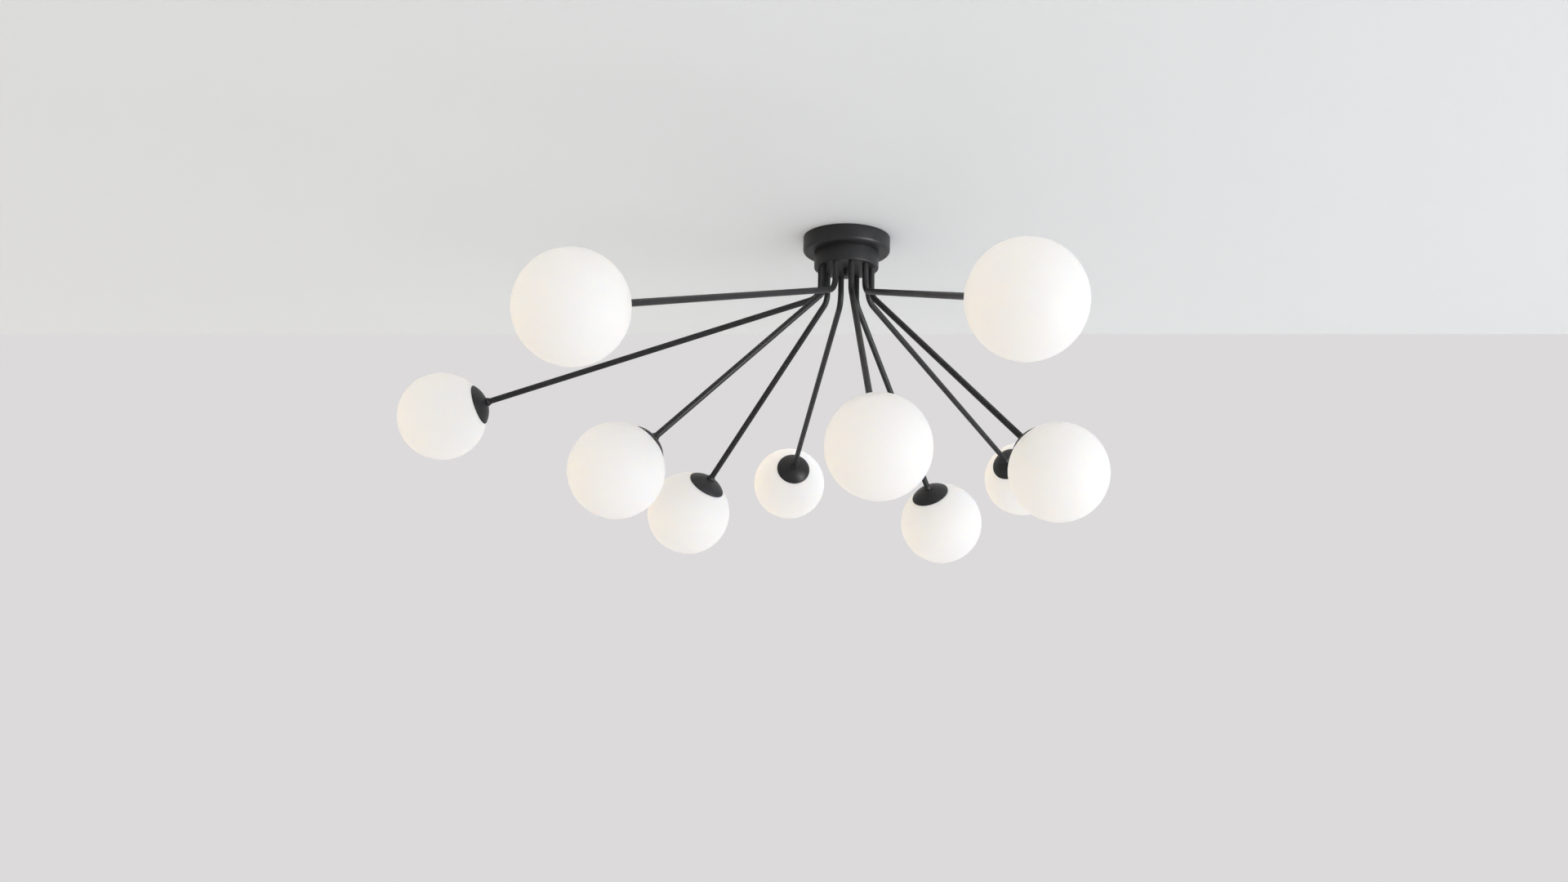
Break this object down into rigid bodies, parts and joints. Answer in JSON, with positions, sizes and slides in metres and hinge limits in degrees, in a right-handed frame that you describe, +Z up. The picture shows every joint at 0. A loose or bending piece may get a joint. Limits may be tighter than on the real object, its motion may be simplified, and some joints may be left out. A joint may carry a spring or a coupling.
{
  "type": "ceiling light",
  "caption": "Flush ceiling light: a round canopy and collar carry bent tubes in a ring, long shallow and short steep in turn, each swivelling and ending in a domed cap and an opal globe.",
  "frame": {"origin": "centre of the face that meets the ceiling, on the canopy's axis", "axes": "+Z up into the ceiling along the canopy's axis, -Y towards the front from which the picture looks, +X to the right seen from there"},
  "size_m": [1.0239, 1.2469, 0.4273],
  "materials": {
    "black_coat": "satin fine-textured powder coat, charcoal black",
    "opal_glass": "satin opal glass, white all through and not see-through",
    "zinc_plate": "bright zinc plate",
    "white_ceramic": "glazed white ceramic",
    "lamp_shell": "milky lamp capsule",
    "terminal_plastic": "moulded off-white plastic",
    "brass": "turned brass"
  },
  "bodies": {
    "base": {"canopy": "black_coat", "collar": "black_coat", "stem_washers": "zinc_plate", "stem_lock_nuts": "zinc_plate", "mounting_bar": "zinc_plate", "centre_rod": "zinc_plate", "rod_nut": "zinc_plate", "cap_nut": "black_coat", "terminal_block": "terminal_plastic", "earth_screw": "brass"},
    "arm_01": {"arm_tube_01": "black_coat", "globe_cap_01": "black_coat", "globe_01": "opal_glass", "lampholder_01": "white_ceramic", "lamp_01": "lamp_shell"},
    "arm_02": {"arm_tube_02": "black_coat", "globe_cap_02": "black_coat", "globe_02": "opal_glass", "lampholder_02": "white_ceramic", "lamp_02": "lamp_shell"},
    "arm_03": {"arm_tube_03": "black_coat", "globe_cap_03": "black_coat", "globe_03": "opal_glass", "lampholder_03": "white_ceramic", "lamp_03": "lamp_shell"},
    "arm_04": {"arm_tube_04": "black_coat", "globe_cap_04": "black_coat", "globe_04": "opal_glass", "lampholder_04": "white_ceramic", "lamp_04": "lamp_shell"},
    "arm_05": {"arm_tube_05": "black_coat", "globe_cap_05": "black_coat", "globe_05": "opal_glass", "lampholder_05": "white_ceramic", "lamp_05": "lamp_shell"},
    "arm_06": {"arm_tube_06": "black_coat", "globe_cap_06": "black_coat", "globe_06": "opal_glass", "lampholder_06": "white_ceramic", "lamp_06": "lamp_shell"},
    "arm_07": {"arm_tube_07": "black_coat", "globe_cap_07": "black_coat", "globe_07": "opal_glass", "lampholder_07": "white_ceramic", "lamp_07": "lamp_shell"},
    "arm_08": {"arm_tube_08": "black_coat", "globe_cap_08": "black_coat", "globe_08": "opal_glass", "lampholder_08": "white_ceramic", "lamp_08": "lamp_shell"},
    "arm_09": {"arm_tube_09": "black_coat", "globe_cap_09": "black_coat", "globe_09": "opal_glass", "lampholder_09": "white_ceramic", "lamp_09": "lamp_shell"},
    "arm_10": {"arm_tube_10": "black_coat", "globe_cap_10": "black_coat", "globe_10": "opal_glass", "lampholder_10": "white_ceramic", "lamp_10": "lamp_shell"}
  },
  "joints": [
    {"name": "arm_01_swivel", "type": "hinge", "parent": "base", "child": "arm_01", "pos_m": [0.00563, -0.03558, -0.086], "axis": [0, 0, 1], "range_deg": [-20, 20]},
    {"name": "arm_02_swivel", "type": "hinge", "parent": "base", "child": "arm_02", "pos_m": [0.02547, -0.02547, -0.086], "axis": [0, 0, 1], "range_deg": [-20, 20]},
    {"name": "arm_03_swivel", "type": "hinge", "parent": "base", "child": "arm_03", "pos_m": [0.03558, -0.00563, -0.086], "axis": [0, 0, 1], "range_deg": [-20, 20]},
    {"name": "arm_04_swivel", "type": "hinge", "parent": "base", "child": "arm_04", "pos_m": [0.03209, 0.01635, -0.086], "axis": [0, 0, 1], "range_deg": [-20, 20]},
    {"name": "arm_05_swivel", "type": "hinge", "parent": "base", "child": "arm_05", "pos_m": [0.01635, 0.03209, -0.086], "axis": [0, 0, 1], "range_deg": [-20, 20]},
    {"name": "arm_06_swivel", "type": "hinge", "parent": "base", "child": "arm_06", "pos_m": [-0.00563, 0.03558, -0.086], "axis": [0, 0, 1], "range_deg": [-20, 20]},
    {"name": "arm_07_swivel", "type": "hinge", "parent": "base", "child": "arm_07", "pos_m": [-0.02547, 0.02547, -0.086], "axis": [0, 0, 1], "range_deg": [-20, 20]},
    {"name": "arm_08_swivel", "type": "hinge", "parent": "base", "child": "arm_08", "pos_m": [-0.03558, 0.00563, -0.086], "axis": [0, 0, 1], "range_deg": [-20, 20]},
    {"name": "arm_09_swivel", "type": "hinge", "parent": "base", "child": "arm_09", "pos_m": [-0.03209, -0.01635, -0.086], "axis": [0, 0, 1], "range_deg": [-20, 20]},
    {"name": "arm_10_swivel", "type": "hinge", "parent": "base", "child": "arm_10", "pos_m": [-0.01635, -0.03209, -0.086], "axis": [0, 0, 1], "range_deg": [-20, 20]}
  ]
}
